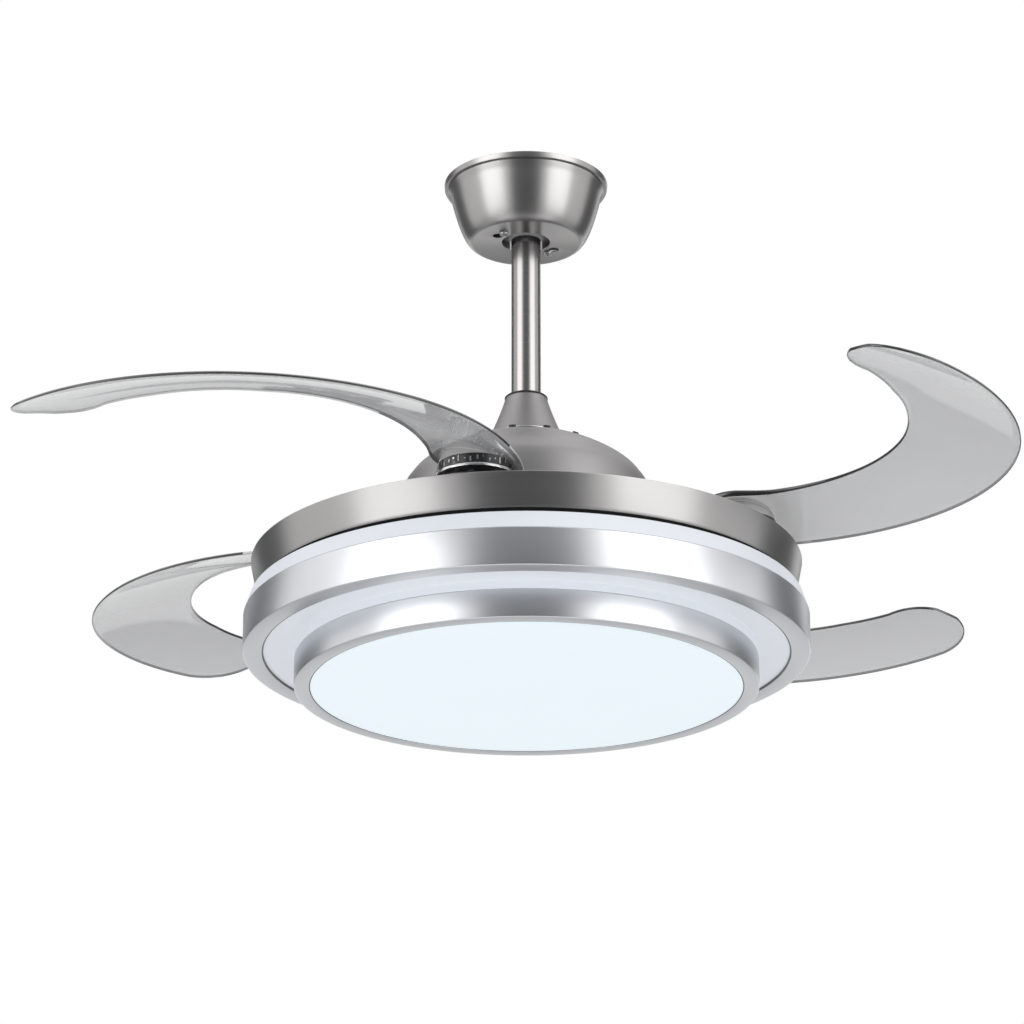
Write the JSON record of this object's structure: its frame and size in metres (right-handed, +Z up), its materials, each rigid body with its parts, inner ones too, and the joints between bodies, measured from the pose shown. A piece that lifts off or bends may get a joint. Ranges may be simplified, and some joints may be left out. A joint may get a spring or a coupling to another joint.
{
  "type": "retractable blade ceiling fan",
  "caption": "Ceiling fan on a short rod, with curved clear blades that swing out together on geared hubs from a shallow round tray, over a stepped round light with frosted faces.",
  "frame": {"origin": "on the ceiling plane, on the fan's axis, at the top face of the hanger bracket", "axes": "+Z up along the fan's axis into the ceiling; +X along the hanger bracket and its pins"},
  "size_m": [0.8478, 0.8478, 0.4892],
  "materials": {
    "brushed_nickel": "brushed nickel, satin",
    "aluminium_trim": "spun and brushed, bright",
    "cast_alloy": "plain, as cast or pressed",
    "plated_steel": "zinc plated",
    "dark_steel": "dark, matt",
    "black_plastic": "moulded, satin",
    "clear_smoke": "clear with a grey tint, polished",
    "frosted_acrylic": "frosted, lets light through",
    "white_board": "white solder mask",
    "copper_wire": "enamelled winding wire",
    "black_rubber": "matt",
    "ferrite": "sintered, dull",
    "ring_gear": "moulded, natural colour"
  },
  "bodies": {
    "mount": {"hanger_bracket": "plated_steel", "canopy": "brushed_nickel", "canopy_screw_1": "plated_steel", "canopy_screw_2": "plated_steel", "receiver_box": "black_plastic"},
    "hanger": {"hanger_ball": "black_plastic", "downrod": "brushed_nickel", "ball_pin": "plated_steel", "coupling_cover": "brushed_nickel", "rod_gasket": "black_rubber", "yoke": "dark_steel", "hitch_pin": "plated_steel", "yoke_set_screw": "plated_steel", "motor_dome": "brushed_nickel", "dome_screw_1": "plated_steel", "dome_screw_2": "plated_steel", "dome_screw_3": "plated_steel", "motor_shaft": "plated_steel", "lead_cable": "black_rubber", "stator_core": "dark_steel", "stator_bush": "black_plastic", "stator_coils": "copper_wire", "tray": "brushed_nickel", "shaft_nut": "plated_steel", "light_chassis": "black_plastic", "upper_ring": "aluminium_trim", "upper_diffuser": "frosted_acrylic", "lower_ring": "aluminium_trim", "lower_diffuser": "frosted_acrylic", "led_plate": "cast_alloy", "led_disc_board": "white_board", "led_ring_board": "white_board", "led_driver": "black_plastic"},
    "rotor": {"rotor_base": "cast_alloy", "rotor_cup": "cast_alloy", "bearing_lower": "plated_steel", "bearing_upper": "plated_steel", "magnet_ring": "ferrite", "blade_carrier": "black_plastic", "gear_cover": "black_plastic", "pivot_pin_1": "plated_steel", "pivot_pin_2": "plated_steel", "pivot_pin_3": "plated_steel", "pivot_pin_4": "plated_steel", "return_spring_1": "plated_steel", "return_spring_2": "plated_steel", "return_spring_3": "plated_steel", "return_spring_4": "plated_steel"},
    "sync_ring": {"sync_ring": "ring_gear"},
    "blade_1": {"blade_1": "clear_smoke", "hub_1": "black_plastic"},
    "blade_2": {"blade_2": "clear_smoke", "hub_2": "black_plastic"},
    "blade_3": {"blade_3": "clear_smoke", "hub_3": "black_plastic"},
    "blade_4": {"blade_4": "clear_smoke", "hub_4": "black_plastic"}
  },
  "joints": [
    {"name": "rod_swing", "type": "hinge", "parent": "mount", "child": "hanger", "pos_m": [0, 0, -0.04], "axis": [1, 0, 0], "range_deg": [-8, 8]},
    {"name": "rotor_spin", "type": "hinge", "parent": "hanger", "child": "rotor", "pos_m": [0, 0, -0.377], "axis": [0, 0, 1], "continuous": true},
    {"name": "blade_1_fold", "type": "hinge", "parent": "rotor", "child": "blade_1", "pos_m": [-0.04221, -0.1873, -0.365], "axis": [0, 0, 1], "range_deg": [-94.65, 0]},
    {"name": "blade_2_fold", "type": "hinge", "parent": "rotor", "child": "blade_2", "pos_m": [0.1873, -0.04221, -0.365], "axis": [0, 0, 1], "range_deg": [-94.65, 0]},
    {"name": "blade_3_fold", "type": "hinge", "parent": "rotor", "child": "blade_3", "pos_m": [0.04221, 0.1873, -0.365], "axis": [0, 0, 1], "range_deg": [-94.65, 0]},
    {"name": "blade_4_fold", "type": "hinge", "parent": "rotor", "child": "blade_4", "pos_m": [-0.1873, 0.04221, -0.365], "axis": [0, 0, 1], "range_deg": [-94.65, 0]},
    {"name": "sync_turn", "type": "hinge", "parent": "rotor", "child": "sync_ring", "pos_m": [0, 0, -0.371], "axis": [0, 0, 1], "range_deg": [0, 24.95]}
  ],
  "couplings": [
    {"joint": "blade_2_fold", "follows": "blade_1_fold", "ratio": 1},
    {"joint": "blade_3_fold", "follows": "blade_1_fold", "ratio": 1},
    {"joint": "blade_4_fold", "follows": "blade_1_fold", "ratio": 1},
    {"joint": "sync_turn", "follows": "blade_1_fold", "ratio": -0.26316}
  ]
}
